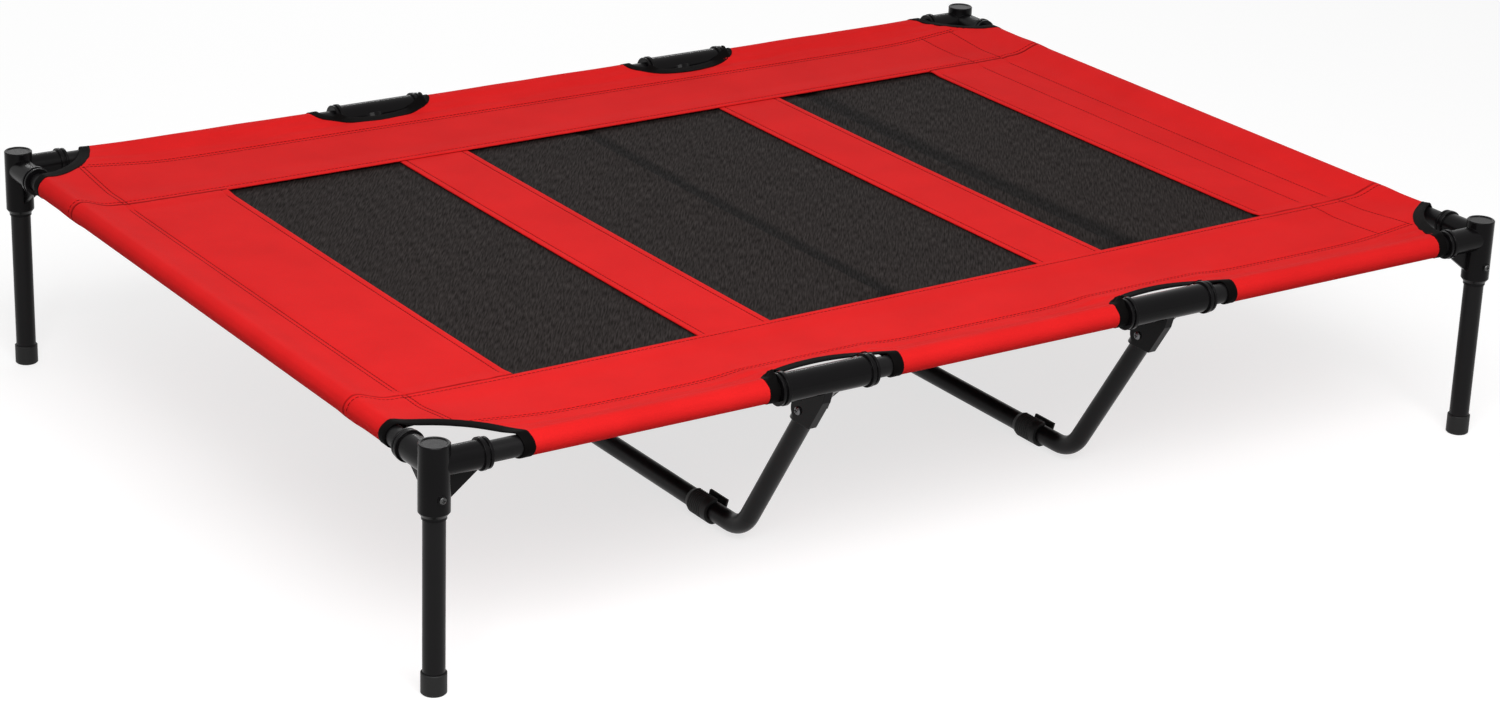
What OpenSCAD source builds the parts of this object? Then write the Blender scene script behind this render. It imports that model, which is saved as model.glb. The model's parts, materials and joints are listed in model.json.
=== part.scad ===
// Raised pet cot: a sewn fabric cover stretched over a push-fit tube frame.
// X runs along the long side, Y from front to rear, Z up. The origin is on the floor under the middle.

/* [Overall size] */
// Length over the corner sockets
cot_length = 1220; // [1000:1:1400]
// Width over the corner sockets
cot_width = 900; // [760:1:1100]
// Height of the socket tops above the floor
cot_height = 230; // [210:1:280]

/* [Tubes] */
// Outside diameter of a leg tube
leg_d = 20; // [18:0.5:22]
// Outside diameter of a rail tube
rail_d = 19; // [17:0.5:20]
// Outside diameter of a support bar
bar_d = 19; // [17:0.5:20]
// Wall of every tube
tube_wall = 1.2; // [0.8:0.1:1.6]
// Gap all round between a tube and its socket
push_gap = 0.15; // [0.05:0.05:0.25]
// Gap between the end of a tube and the stop that it seats on
seat_gap = 0.3; // [0.1:0.1:0.5]

/* [Corner connector] */
// Wall of the upright socket
socket_wall = 3.85; // [3:0.05:5]
// Height of the upright socket
socket_h = 68; // [62:1:80]
// Depth of the rail axis under the socket top
rail_drop = 19; // [16:0.5:22]
// Wall of an arm
arm_wall = 3; // [2.5:0.1:3.6]
// Reach of an arm from the leg axis to its mouth
arm_reach = 50; // [42:1:56]
// Solid left between the end of one bore and the next bore
stop_web = 4; // [3:0.5:6]
// Thickness of a gusset web
gusset_t = 3.5; // [2.5:0.5:5]
// Height of a gusset web under its arm
gusset_h = 21; // [14:1:26]
// Width of the rim round the dished top
top_rim = 1.6; // [1:0.1:3]
// Depth of the dished top
top_dish = 0.8; // [0.4:0.1:1.5]
// Chamfer round the top edge
top_edge = 0.8; // [0.4:0.1:1.2]
// Height of the taper at the foot of the socket
taper_h = 4; // [2:0.5:6]
// Height of the thin lip under the taper
lip_h = 2.5; // [1:0.5:4]
// Wall of the thin lip
lip_wall = 0.9; // [0.6:0.1:1.5]

/* [Ring collar] */
// Height of the first ring over its wall
ring_rise = 2; // [1:0.1:2.4]
// Width of the first ring
ring_w = 4; // [3:0.5:5]
// Width of the groove between the rings
groove_w = 1.6; // [1:0.1:2.5]
// Width of the ring at the mouth
mouth_ring_w = 3; // [2:0.5:4]
// How much lower the ring at the mouth is
mouth_ring_step = 0.6; // [0.2:0.1:1]
// Chamfer on the edges of the rings
ring_edge = 0.5; // [0.2:0.1:0.8]

/* [Foot cap] */
// Wall of a foot cap
cap_wall = 1.35; // [1:0.05:2.5]
// Height of a foot cap
cap_h = 20; // [14:1:30]
// Floor of a foot cap
cap_floor = 3; // [2:0.5:5]
// Chamfer round the bottom of a foot cap
cap_edge = 1.2; // [0.5:0.1:1.3]

/* [Tee connector] */
// Distance of a tee from the middle of the cot
tee_x = 196; // [170:1:220]
// Length of a tee sleeve
tee_length = 104; // [96:1:120]
// How far a tee sleeve's middle lies beside the bar
tee_shift = 8; // [0:1:10]
// Wall of a tee sleeve
tee_wall = 4; // [3.5:0.1:4.5]
// Wall of the bracket round the bar
bracket_wall = 3; // [2.5:0.1:4]
// Drop from the rail axis to the foot of the bracket
bracket_drop = 52; // [50:1:60]
// Drop from the rail axis to the bolt
bolt_drop = 40; // [39:1:44]
// Thickness of the flat cheek beside the bar
cheek_t = 8.5; // [6:0.5:9]
// Radius of the cheek's lobe round the bolt
lobe_r = 12; // [10:0.5:12.5]
// How far the cheek's foot reaches out in front of the bar axis
cheek_reach = 24.5; // [20:0.5:26]
// Reach of the gusset web along the sleeve, beyond the bracket
web_run = 21; // [14:1:22]
// Reach of the gusset web down the bracket, beyond the sleeve
web_fall = 26; // [18:1:27]
// Thickness of the gusset web
web_t = 6; // [4:0.5:8]

/* [Support bar] */
// Centre-line radius of a bend
bend_r = 40; // [30:1:50]
// How far inside the rail axis the end of a bar points
bar_in = 5; // [0:0.5:6]

/* [Bar foot] */
// Thickness of the bar foot under the bar
foot_t = 3; // [2.5:0.1:4]
// Gap between the bar foot and the bar
foot_gap = 0.1; // [0.05:0.05:0.3]
// Length of a bar foot
foot_length = 36; // [30:1:46]
// Distance from the start of the bend to a bar foot
foot_inset = 24; // [10:1:30]
// Depth that the round foot is cut flat where it stands
foot_flat = 0.3; // [0.2:0.1:0.6]
// Length of the taper at the inner end of a bar foot
foot_taper = 6; // [4:1:9]
// Number of grip ribs on a bar foot
rib_count = 7; // [4:1:8]
// Spacing of the grip ribs
rib_pitch = 3; // [2.5:0.1:3]
// Depth of the grooves between the ribs
rib_depth = 0.6; // [0.3:0.1:1]
// Height of the flared lip over the bar axis
flare_rise = 9; // [6:0.5:11]
// How far the flared lip leans outwards
flare_out = 2.5; // [1:0.5:4]
// Thickness of the flared lip
flare_t = 2.2; // [1.6:0.1:2.4]

/* [Fasteners] */
// Shank diameter of a leg screw
screw_d = 3.5; // [3:0.5:4.5]
// Head diameter of a leg screw
screw_head_d = 6.4; // [6:0.2:8]
// Head height of a leg screw
screw_head_h = 2; // [1.5:0.1:3]
// Drop from the rail axis to a leg screw
screw_drop = 28; // [27:1:34]
// Diameter of the flat seat under a leg screw
seat_d = 9; // [8.4:0.2:11]
// How far the flat seat stands out
seat_rise = 0.6; // [0.3:0.1:1.2]
// Shank diameter of a bar bolt
bolt_d = 5; // [4:0.5:6]
// Head diameter of a bar bolt
bolt_head_d = 8; // [7.5:0.5:10]
// Head height of a bar bolt
bolt_head_h = 2.6; // [2:0.2:4]
// Width of a nut across its flats
nut_w = 8; // [7.5:0.5:10]
// Height of a nut
nut_h = 4; // [3:0.5:5]
// How far a bolt stands out of its nut
bolt_end = 2; // [1:0.5:4]
// Gap all round between a fastener and its hole
hole_gap = 0.1; // [0.05:0.05:0.3]
// Width of the cross recess in a head
recess_w = 1; // [0.8:0.1:1.4]
// Depth of the cross recess in a head
recess_deep = 1; // [0.6:0.1:1.2]

/* [Cover] */
// Thickness of the cloth
cloth_t = 1.2; // [0.8:0.1:1.6]
// Gap between a sleeve and its rail
sleeve_gap = 0.35; // [0.3:0.05:0.8]
// Distance from the long rails in to the sleeve seams
side_seam = 47; // [40:1:54]
// Distance from the short rails in to the sleeve seams
end_seam = 47; // [40:1:54]
// Width of the red border along the long rails
side_border = 157; // [130:1:190]
// Width of the red border along the short rails
end_border = 160; // [130:1:190]
// Width of a cross strip
strip_w = 82; // [60:1:110]
// Width of the black binding tape
tape_w = 11; // [8:0.5:13]
// Radius of the red edge round a corner
corner_cut_r = 108; // [106:1:118]
// How far the corner arc's centre lies outside both rail axes
corner_cut_shift = 30; // [26:1:32]
// Room in the opening round a tee, beyond the tee's end
notch_room = 5; // [4:1:12]
// Depth of the opening round a tee, from the rail axis to the tape
notch_deep = 23; // [22:1:32]
// Corner radius of the opening round a tee
notch_r = 18; // [10:1:20]
// How far the cover has crept along the long rails
creep = 7; // [0:1:8]

/* [Hidden] */
$fn = 64;
eps = 0.5;
plastic = "#1b1a1b";
paint = "#141314";
rubber = "#111111";
steel = "#77777a";
red = "#df2b2c";
mesh = "#33302e";
tape = "#1c1b1b";

leg_r = leg_d / 2;
rail_r = rail_d / 2;
bar_r = bar_d / 2;
leg_bore = leg_r + push_gap;
rail_bore = rail_r + push_gap;
bar_bore = bar_r + push_gap;

socket_r = leg_bore + socket_wall;
leg_x = cot_length / 2 - socket_r;
leg_y = cot_width / 2 - socket_r;
rail_z = cot_height - rail_drop;
socket_foot = cot_height - socket_h;
arm_r = rail_bore + arm_wall;
arm_stop = rail_bore + stop_web;
rail_start = arm_stop + seat_gap;
collar_w = ring_w + groove_w + mouth_ring_w;
leg_stop = rail_z - rail_bore - stop_web;
seat_y = socket_r + seat_rise;

sleeve_r = rail_bore + tee_wall;
bracket_r = bar_bore + bracket_wall;
bar_z = foot_t + bar_r;
// The ends of a bar lean 336 across for every 527 up, which makes 625 along the slope
lean = [336, 527] / 625;
bar_tilt = atan(lean.x / lean.y);
bar_rise = rail_z - bar_z;
bend_run = bend_r * tan((90 - bar_tilt) / 2);
// The bend starts on a whole hundredth, so that its faces meet the straight tube's
bend_start = round(100 * (leg_y - bar_in - bar_rise * lean.x / lean.y - bend_run)) / 100;
bar_slant = bar_rise / lean.y - bend_run;
bar_stop = sleeve_r + stop_web;
bolt_in = bar_in + bolt_drop * tan(bar_tilt);
nut_face = bracket_r + seat_rise;

foot_r = bar_r + foot_t + foot_flat;
foot_bore = bar_r + foot_gap;

cloth_in = rail_r + sleeve_gap;
cloth_out = cloth_in + cloth_t;
window_y = leg_y - side_border;
window_x = leg_x - end_border;
notch_half = tee_length / 2 + tee_shift + notch_room;
arc_steps = 36;
turn_steps = 8;

// Mirrors what follows when asked to
module flip(axis, on) {
    if (on) mirror(axis) children();
    else children();
}

// Puts a piece drawn for the front left leg at any leg
module at_leg(sx, sy) {
    translate([sx * leg_x, sy * leg_y, 0])
        flip([1, 0, 0], sx > 0)
            flip([0, 1, 0], sy > 0)
                children();
}

// Puts a piece drawn on the front rail axis at any tee: the rear ones are turned half round
module at_tee(sx, sy) {
    translate([sx * tee_x, sy * leg_y, rail_z])
        rotate([0, 0, sy > 0 ? 180 : 0])
            children();
}

// Turns +Z to point down along a slanted end of the bar, away from the rail
module down_bar() {
    translate([0, bar_in, 0]) rotate([180 + bar_tilt, 0, 0]) children();
}

module tube(d, length) {
    difference() {
        cylinder(d = d, h = length);
        translate([0, 0, -eps]) cylinder(d = d - 2 * tube_wall, h = length + 2 * eps);
    }
}

// The two raised rings at the mouth of an arm or a tee
module collar(wall_r) {
    high = wall_r + ring_rise;
    low = high - mouth_ring_step;
    mouth = ring_w + groove_w;
    rotate_extrude() polygon([
        [0, 0], [high - ring_edge, 0], [high, ring_edge], [high, ring_w - ring_edge],
        [high - ring_edge, ring_w], [wall_r, ring_w], [wall_r, mouth],
        [low - ring_edge, mouth], [low, mouth + ring_edge], [low, collar_w - ring_edge],
        [low - ring_edge, collar_w], [0, collar_w]
    ]);
}

// A pan head with a cross recess, seated on z = 0
module pan_head(d, h) {
    difference() {
        rotate_extrude() polygon([
            [0, 0], [d / 2, 0], [d / 2, h * 0.45], [d * 0.42, h * 0.8], [d * 0.28, h], [0, h]
        ]);
        for (turn = [0, 90])
            rotate([0, 0, turn])
                translate([-d * 0.28, -recess_w / 2, h - recess_deep])
                    cube([d * 0.56, recess_w, recess_deep + eps]);
    }
}

// Upright socket: dished top, straight wall, tapered foot and thin lip
module socket_body() {
    lip_r = leg_bore + lip_wall;
    dish_r = socket_r - top_edge - top_rim;
    rotate_extrude() polygon([
        [0, socket_foot], [lip_r, socket_foot], [lip_r, socket_foot + lip_h],
        [socket_r, socket_foot + lip_h + taper_h], [socket_r, cot_height - top_edge],
        [socket_r - top_edge, cot_height], [dish_r, cot_height],
        [dish_r - top_dish, cot_height - top_dish], [0, cot_height - top_dish]
    ]);
}

// One arm with its collar and the gusset web under it
module arm() {
    web_top = rail_z - rail_bore - arm_wall / 2;
    web_low = rail_z - arm_r - gusset_h;
    web_out = arm_reach - collar_w;
    translate([0, 0, rail_z])
        rotate([0, 90, 0]) {
            cylinder(r = arm_r, h = web_out + eps);
            translate([0, 0, web_out]) collar(arm_r);
        }
    rotate([90, 0, 0])
        linear_extrude(gusset_t, center = true)
            polygon([
                [leg_bore, web_low], [socket_r, web_low], [web_out, rail_z - arm_r],
                [web_out, web_top], [leg_bore, web_top]
            ]);
}

module corner(sx, sy) {
    color(plastic) at_leg(sx, sy) difference() {
        union() {
            socket_body();
            for (turn = [0, 90]) rotate([0, 0, turn]) arm();
            translate([0, 0, rail_z - screw_drop]) rotate([90, 0, 0]) cylinder(d = seat_d, h = seat_y);
        }
        translate([0, 0, socket_foot - eps]) cylinder(r = leg_bore, h = leg_stop - socket_foot + eps);
        translate([0, 0, rail_z]) {
            for (turn = [0, -90])
                rotate([turn, 90 + turn, 0])
                    translate([0, 0, arm_stop]) cylinder(r = rail_bore, h = arm_reach);
        }
        screw_hole();
    }
}

// Hole for a leg screw, out through the front of the socket
module screw_hole() {
    translate([0, 0, rail_z - screw_drop])
        rotate([90, 0, 0]) cylinder(r = screw_d / 2 + hole_gap, h = seat_y + eps);
}

module leg(sx, sy) {
    foot = cap_floor + seat_gap;
    color(paint) at_leg(sx, sy) difference() {
        translate([0, 0, foot]) tube(leg_d, leg_stop - seat_gap - foot);
        screw_hole();
    }
}

module foot_cap(sx, sy) {
    cap_r = leg_bore + cap_wall;
    color(rubber) at_leg(sx, sy) difference() {
        rotate_extrude() polygon([
            [0, 0], [cap_r - cap_edge, 0], [cap_r, cap_edge],
            [cap_r, cap_h - cap_wall / 2], [cap_r - cap_wall / 2, cap_h], [0, cap_h]
        ]);
        translate([0, 0, cap_floor]) cylinder(r = leg_bore, h = cap_h);
    }
}

module leg_screws() {
    shank = seat_y - leg_r + 2 * tube_wall;
    color(steel)
        for (sx = [-1, 1], sy = [-1, 1])
            at_leg(sx, sy)
                translate([0, -seat_y, rail_z - screw_drop])
                    rotate([90, 0, 0]) {
                        pan_head(screw_head_d, screw_head_h);
                        translate([0, 0, -shank]) cylinder(d = screw_d, h = shank);
                    }
}

// One section of a long rail between two places along X
module long_rail(sy, from_x, to_x) {
    color(paint)
        translate([from_x, sy * leg_y, rail_z]) rotate([0, 90, 0]) tube(rail_d, to_x - from_x);
}

module rail_left(sy) {
    long_rail(sy, -leg_x + rail_start, -tee_x - stop_web / 2 - seat_gap);
}

module rail_middle(sy) {
    long_rail(sy, -tee_x + stop_web / 2 + seat_gap, tee_x - stop_web / 2 - seat_gap);
}

module rail_right(sy) {
    long_rail(sy, tee_x + stop_web / 2 + seat_gap, leg_x - rail_start);
}

module short_rail(sx) {
    reach = leg_y - rail_start;
    color(paint)
        translate([sx * leg_x, -reach, rail_z]) rotate([-90, 0, 0]) tube(rail_d, 2 * reach);
}

// Flat cheek beside the bar, with a round lobe about the bolt
module cheek() {
    foot_in = bar_in + bracket_drop * tan(bar_tilt);
    neck = 1.5 * sleeve_r;
    translate([-bracket_r, 0, 0]) rotate([90, 0, 90]) linear_extrude(cheek_t) {
        polygon([
            [foot_in, -bracket_drop], [foot_in - cheek_reach, -bracket_drop],
            [foot_in - cheek_reach - (bracket_drop - neck) * tan(bar_tilt), -neck],
            [-rail_bore, -rail_bore], [rail_bore, -rail_bore]
        ]);
        translate([bolt_in, -bolt_drop]) circle(r = lobe_r);
    }
}

// Gusset web that spreads the bracket's far side into the sleeve, along a slightly hollow edge
module web() {
    inside = rail_bore + tee_wall / 2;
    high = [bracket_r + web_run, sleeve_r];
    low = [bracket_r, sleeve_r + web_fall];
    hollow = (high + low) / 2 - [web_run, web_fall] / 8;
    down_bar() rotate([90, 0, 0]) linear_extrude(web_t, center = true)
        polygon(concat(
            [[0, inside], [high.x, inside]],
            [for (i = [0:turn_steps]) let (s = i / turn_steps)
                high * (1 - s) * (1 - s) + 2 * hollow * s * (1 - s) + low * s * s],
            [[0, low.y]]
        ));
}

// Sleeve with its two collars, and the bracket that grips the end of the bar
module tee(sx, sy) {
    plain = tee_length / 2 - collar_w;
    bore_start = stop_web / 2;
    bracket_end = bracket_drop / cos(bar_tilt) + bracket_r;
    color(plastic) at_tee(sx, sy) difference() {
        union() {
            translate([-tee_shift, 0, 0]) {
                rotate([0, 90, 0]) cylinder(r = sleeve_r, h = 2 * plain, center = true);
                for (turn = [-90, 90])
                    rotate([0, turn, 0]) translate([0, 0, plain]) collar(sleeve_r);
            }
            difference() {
                down_bar() cylinder(r = bracket_r, h = bracket_end);
                translate([-2 * bracket_r, -2 * bracket_end, -bracket_drop - 2 * bracket_end])
                    cube([4 * bracket_r, 4 * bracket_end, 2 * bracket_end]);
            }
            cheek();
            web();
            translate([0, bolt_in, -bolt_drop]) rotate([0, 90, 0]) cylinder(d = nut_w * 1.5, h = nut_face);
        }
        for (turn = [-90, 90])
            rotate([0, turn, 0]) translate([0, 0, bore_start]) cylinder(r = rail_bore, h = tee_length);
        down_bar() translate([0, 0, bar_stop]) cylinder(r = bar_bore, h = bracket_end);
        bolt_hole();
    }
}

// Hole for a bar bolt, across the bracket
module bolt_hole() {
    translate([-2 * bracket_r, bolt_in, -bolt_drop])
        rotate([0, 90, 0]) cylinder(r = bolt_d / 2 + hole_gap, h = 4 * bracket_r);
}

// The line of a support bar as a solid round of radius r, its ends moved out by extra
module bar_solid(r, extra) {
    wide = 2 * (bend_r + bar_d);
    translate([0, -bend_start, bar_z]) rotate([-90, 0, 0]) cylinder(r = r, h = 2 * bend_start);
    for (turn = [0, 180]) rotate([0, 0, turn]) {
        translate([0, -bend_start, bar_z + bend_r]) rotate([0, 90, 180]) intersection() {
            rotate_extrude(angle = 90) translate([bend_r, 0]) circle(r = r);
            linear_extrude(4 * r, center = true) polygon([[0, 0], [wide, -wide], wide * lean]);
        }
        translate([0, -bend_start - bend_r * lean.y, bar_z + bend_r * (1 - lean.x)])
            rotate([bar_tilt, 0, 0]) cylinder(r = r, h = bar_slant - bar_stop - seat_gap + extra);
    }
}

module support_bar(sx) {
    color(paint) difference() {
        translate([sx * tee_x, 0, 0]) difference() {
            bar_solid(bar_r, 0);
            bar_solid(bar_r - tube_wall, eps);
        }
        for (sy = [-1, 1]) at_tee(sx, sy) bolt_hole();
    }
}

// Snap-on foot: a ribbed C round the bar with one flared lip, cut flat where it stands
module bar_foot(sx, sy) {
    ribs_start = foot_taper + rib_pitch / 2;
    open_low = 5;
    open_high = 80;
    wide = 3 * foot_r;
    color(rubber)
        flip([0, 1, 0], sy > 0)
            translate([sx * tee_x, -bend_start + foot_inset + foot_length, bar_z])
                rotate([90, 0, 0]) difference() {
                    union() {
                        difference() {
                            rotate_extrude() polygon(concat(
                                [[foot_bore, 0], [foot_bore + foot_t / 3, 0], [foot_r, foot_taper]],
                                [for (i = [0:rib_count - 1], step = [0:3])
                                    [foot_r - (step == 1 || step == 2 ? rib_depth : 0),
                                     ribs_start + (i + [0, 0.15, 0.45, 0.6][step]) * rib_pitch]],
                                [[foot_r, foot_length], [foot_bore, foot_length]]
                            ));
                            translate([0, 0, -eps]) linear_extrude(foot_length + 2 * eps)
                                polygon([
                                    [0, 0], wide * [cos(open_low), sin(open_low)],
                                    wide * [1, 1], wide * [cos(open_high), sin(open_high)]
                                ]);
                        }
                        translate([0, 0, foot_taper]) linear_extrude(foot_length - foot_taper)
                            polygon([
                                [foot_bore + foot_t / 3, -foot_t / 3], [foot_r - rib_depth, -foot_t / 3],
                                [foot_r + flare_out, flare_rise], [foot_r + flare_out - flare_t, flare_rise]
                            ]);
                    }
                    translate([-wide, -bar_z - wide, -eps]) cube([2 * wide, wide, foot_length + 2 * eps]);
                }
}

module bar_bolts() {
    shank = bracket_r + nut_face + nut_h + bolt_end;
    color(steel)
        for (sx = [-1, 1], sy = [-1, 1])
            at_tee(sx, sy)
                translate([-bracket_r, bolt_in, -bolt_drop]) {
                    rotate([0, -90, 0]) pan_head(bolt_head_d, bolt_head_h);
                    rotate([0, 90, 0]) cylinder(d = bolt_d, h = shank);
                }
}

module bar_nuts() {
    across_corners = nut_w / cos(30);
    color(steel)
        for (sx = [-1, 1], sy = [-1, 1])
            at_tee(sx, sy)
                translate([nut_face, bolt_in, -bolt_drop]) rotate([0, 90, 0]) difference() {
                    cylinder(d = across_corners, h = nut_h, $fn = 6);
                    translate([0, 0, -eps]) cylinder(r = bolt_d / 2 + hole_gap, h = nut_h + 2 * eps);
                }
}

// Outline of a loop of radius r whose two sides meet at a point
function teardrop(r, reach) =
    let (open = acos(r / reach))
    concat(
        [[reach, 0]],
        [for (i = [0:arc_steps]) let (a = open + (360 - 2 * open) * i / arc_steps) r * [cos(a), sin(a)]]
    );

// Cloth sleeve in section: a loop round the rail, sewn shut at the seam
module sleeve_section(seam) {
    difference() {
        polygon(teardrop(cloth_out, seam * cloth_out / cloth_in));
        polygon(teardrop(cloth_in, seam));
    }
}

// Sleeve along the front rail, from leg axis to leg axis
module side_sleeve() {
    translate([-leg_x, -leg_y, rail_z])
        rotate([90, 0, 90]) linear_extrude(2 * leg_x) sleeve_section(side_seam);
}

// Sleeve along a short rail between two places along Y
module end_sleeve(sx, from_y, to_y) {
    flip([1, 0, 0], sx > 0)
        translate([-leg_x, to_y, rail_z])
            rotate([90, 0, 0]) linear_extrude(to_y - from_y) sleeve_section(end_seam);
}

// Flat cloth between two corners of a rectangle
module flat(low, high) {
    translate([low.x, low.y, rail_z - cloth_t / 2]) cube([high.x - low.x, high.y - low.y, cloth_t]);
}

// Front border of the cover before its corners and tee openings are cut
module front_cloth() {
    side_sleeve();
    for (sx = [-1, 1]) end_sleeve(sx, -leg_y, -window_y);
    flat([-leg_x + end_seam, -leg_y + side_seam], [leg_x - end_seam, -window_y]);
}

// Upright round that cuts the cover at a front corner
module corner_cut(sx, r) {
    translate([sx * (leg_x + corner_cut_shift) + creep, -leg_y - corner_cut_shift, rail_z - 2 * cloth_out])
        cylinder(r = r, h = 4 * cloth_out);
}

// Upright prism that cuts the cover round a front tee, larger by grow
module tee_cut(sx, grow) {
    half = notch_half + grow;
    deep = notch_deep + grow;
    r = notch_r + grow;
    translate([sx * tee_x, -leg_y, rail_z - 2 * cloth_out])
        linear_extrude(4 * cloth_out)
            polygon(concat(
                [[-half, -2 * cloth_out]],
                [for (i = [0:turn_steps]) let (a = 180 - 90 * i / turn_steps)
                    [r - half + r * cos(a), deep - r + r * sin(a)]],
                [for (i = [0:turn_steps]) let (a = 90 - 90 * i / turn_steps)
                    [half - r + r * cos(a), deep - r + r * sin(a)]],
                [[half, -2 * cloth_out]]
            ));
}

// Mirrors a front piece of the cover for the rear
module at_side(sy) {
    flip([0, 1, 0], sy > 0) children();
}

module band(sy) {
    color(red) at_side(sy) difference() {
        front_cloth();
        for (sx = [-1, 1]) {
            corner_cut(sx, corner_cut_r);
            tee_cut(sx, tape_w);
        }
    }
}

module end_panel(sx) {
    color(red) {
        end_sleeve(sx, -window_y, window_y);
        flip([1, 0, 0], sx > 0) flat([-leg_x + end_seam, -window_y], [-window_x, window_y]);
    }
}

module cross_strip(sx) {
    middle = sx * tee_x;
    color(red) flat([middle - strip_w / 2, -window_y], [middle + strip_w / 2, window_y]);
}

module outer_mesh(sx) {
    color(mesh) flip([1, 0, 0], sx > 0) flat([-window_x, -window_y], [-tee_x - strip_w / 2, window_y]);
}

module middle_mesh() {
    half = tee_x - strip_w / 2;
    color(mesh) flat([-half, -window_y], [half, window_y]);
}

module corner_tapes() {
    color(tape)
        for (sy = [-1, 1], sx = [-1, 1])
            at_side(sy) intersection() {
                front_cloth();
                difference() {
                    corner_cut(sx, corner_cut_r);
                    corner_cut(sx, corner_cut_r - tape_w);
                }
            }
}

module tee_tapes() {
    color(tape)
        for (sy = [-1, 1], sx = [-1, 1])
            at_side(sy) intersection() {
                front_cloth();
                difference() {
                    tee_cut(sx, tape_w);
                    tee_cut(sx, 0);
                }
            }
}

corner(-1, -1);  // corner_front_left
corner(1, -1);  // corner_front_right
corner(-1, 1);  // corner_rear_left
corner(1, 1);  // corner_rear_right
leg(-1, -1);  // leg_front_left
leg(1, -1);  // leg_front_right
leg(-1, 1);  // leg_rear_left
leg(1, 1);  // leg_rear_right
foot_cap(-1, -1);  // foot_cap_front_left
foot_cap(1, -1);  // foot_cap_front_right
foot_cap(-1, 1);  // foot_cap_rear_left
foot_cap(1, 1);  // foot_cap_rear_right
leg_screws();
rail_left(-1);  // front_rail_left
rail_middle(-1);  // front_rail_middle
rail_right(-1);  // front_rail_right
rail_left(1);  // rear_rail_left
rail_middle(1);  // rear_rail_middle
rail_right(1);  // rear_rail_right
short_rail(-1);  // left_rail
short_rail(1);  // right_rail
tee(-1, -1);  // tee_front_left
tee(1, -1);  // tee_front_right
tee(-1, 1);  // tee_rear_left
tee(1, 1);  // tee_rear_right
support_bar(-1);  // support_bar_left
support_bar(1);  // support_bar_right
bar_foot(-1, -1);  // bar_foot_front_left
bar_foot(1, -1);  // bar_foot_front_right
bar_foot(-1, 1);  // bar_foot_rear_left
bar_foot(1, 1);  // bar_foot_rear_right
bar_bolts();
bar_nuts();
band(-1);  // front_band
band(1);  // rear_band
end_panel(-1);  // left_end_panel
end_panel(1);  // right_end_panel
cross_strip(-1);  // cross_strip_left
cross_strip(1);  // cross_strip_right
outer_mesh(-1);  // mesh_left
middle_mesh();  // mesh_middle
outer_mesh(1);  // mesh_right
corner_tapes();
tee_tapes();
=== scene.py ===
"""Looks of the raised pet cot.

A sewn cover is stretched over the frame, and every piece of the frame gets a finish. Lengths are metres in
the frame's own axes: X along the long side, Y from front to rear, Z up.
"""
import json
import math
from typing import NamedTuple

import bmesh
import bpy
import numpy as np
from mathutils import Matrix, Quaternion, Vector


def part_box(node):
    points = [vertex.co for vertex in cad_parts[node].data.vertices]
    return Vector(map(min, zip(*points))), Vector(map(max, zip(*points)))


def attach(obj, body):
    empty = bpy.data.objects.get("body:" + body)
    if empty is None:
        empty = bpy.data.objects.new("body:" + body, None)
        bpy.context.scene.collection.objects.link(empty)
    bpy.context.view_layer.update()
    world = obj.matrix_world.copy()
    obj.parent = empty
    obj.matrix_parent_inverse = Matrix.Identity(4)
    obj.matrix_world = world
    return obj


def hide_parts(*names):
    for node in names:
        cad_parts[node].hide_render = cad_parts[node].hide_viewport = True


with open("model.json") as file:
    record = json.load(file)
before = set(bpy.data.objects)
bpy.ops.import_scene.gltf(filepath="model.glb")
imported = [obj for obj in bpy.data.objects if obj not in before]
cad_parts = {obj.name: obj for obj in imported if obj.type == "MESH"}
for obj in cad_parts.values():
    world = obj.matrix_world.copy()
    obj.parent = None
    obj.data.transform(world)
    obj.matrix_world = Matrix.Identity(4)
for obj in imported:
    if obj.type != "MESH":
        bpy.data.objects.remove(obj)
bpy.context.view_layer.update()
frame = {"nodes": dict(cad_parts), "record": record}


def middle(node):
    """Middle of a node's box."""
    low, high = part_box(node)
    return (low + high) / 2


def size(node):
    """Lengths of a node's box."""
    low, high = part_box(node)
    return high - low


# Sizes of the frame and of the cover's panels
END_X = middle("right_rail").x
SIDE_Y = middle("rear_rail_middle").y
RAIL_Z = middle("right_rail").z
RAIL_R = size("right_rail").z / 2
TEE_X = middle("support_bar_right").x
WINDOW_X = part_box("mesh_right")[1].x
WINDOW_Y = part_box("mesh_right")[1].y
STRIP_IN, STRIP_OUT = (corner.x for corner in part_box("cross_strip_right"))

# The camera of the photograph
CAMERA_TARGET = Vector((-0.0856, -0.1452, 0.116))
CAMERA_AZIMUTH = -34.319
CAMERA_ELEVATION = 21.236
CAMERA_ROLL = 2.096
CAMERA_DISTANCE = 3.465
CAMERA_LENS = 85.27
SENSOR_WIDTH = 36

# The cloth: one layer, how far one layer lies over the next, how far hems lie over the cover's middle layer
# and the mesh under it, and how far one piece runs on under the next at a seam
CLOTH_T = 0.0006
LAYER = 0.0008
HEM_LIFT = 2 * LAYER
MESH_DROP = 3 * LAYER
SEAM_OVERLAP = 0.012

# Hems: the round of the turned edge and the depth turned under, the run over which a band's hem thins out
# beyond the windows, the share of the thickness pressed out over the end sleeves and the run over which
# that happens
HEM_R = 0.0007
HEM_DEEP = 0.010
HEM_FADE = 0.03
HEM_PRESSED = 0.55
PRESS_FADE = 0.02

# Edges held by a hem: the run over which the cloth rises to it, and the tuck of an end panel under a band
EDGE_FADE = 0.02
TUCK_START = 1.5
TUCK_FADE = 0.001
TUCK_DEEPER = 0.001

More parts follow.
